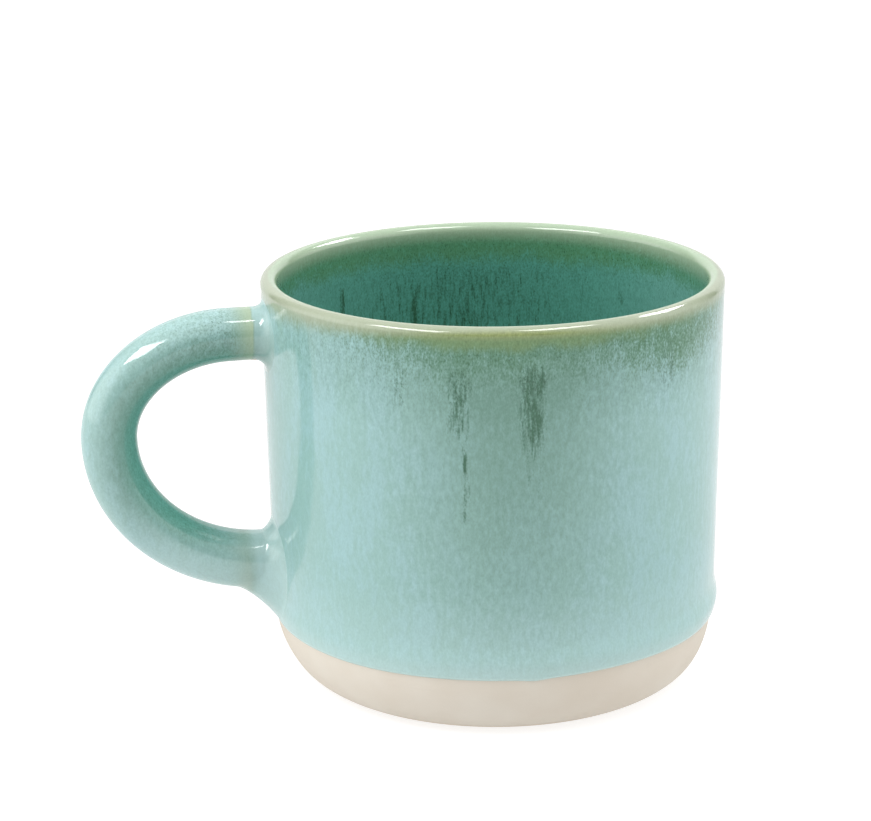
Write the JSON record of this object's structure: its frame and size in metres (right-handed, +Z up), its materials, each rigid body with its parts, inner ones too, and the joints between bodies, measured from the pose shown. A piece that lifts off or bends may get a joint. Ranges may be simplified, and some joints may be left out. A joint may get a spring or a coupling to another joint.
{
  "type": "mug",
  "caption": "Straight-sided stoneware mug with a round looped handle, a bare clay foot and a speckled green to turquoise glaze, for hot drinks.",
  "frame": {"origin": "centre of the foot ring, on the plane it rests on", "axes": "+Z up through the mouth, -X from the mug's axis towards the handle"},
  "size_m": [0.1257, 0.09, 0.081],
  "materials": {
    "raw_stoneware": "unglazed, matte, fine grain",
    "luting_slip": "unglazed, matte",
    "wall_glaze": "glossy, green speckle over pale turquoise, with runs",
    "rim_glaze": "glossy, pale olive where thin",
    "liner_glaze": "glossy, deep teal with green speckle",
    "handle_glaze": "glossy, turquoise green with dark speckle"
  },
  "bodies": {
    "root": {"stoneware_cup": "raw_stoneware", "stoneware_handle": "raw_stoneware", "upper_joint_slip": "luting_slip", "lower_joint_slip": "luting_slip", "wall_glaze": "wall_glaze", "rim_glaze": "rim_glaze", "liner_glaze": "liner_glaze", "handle_glaze": "handle_glaze"}
  },
  "joints": []
}
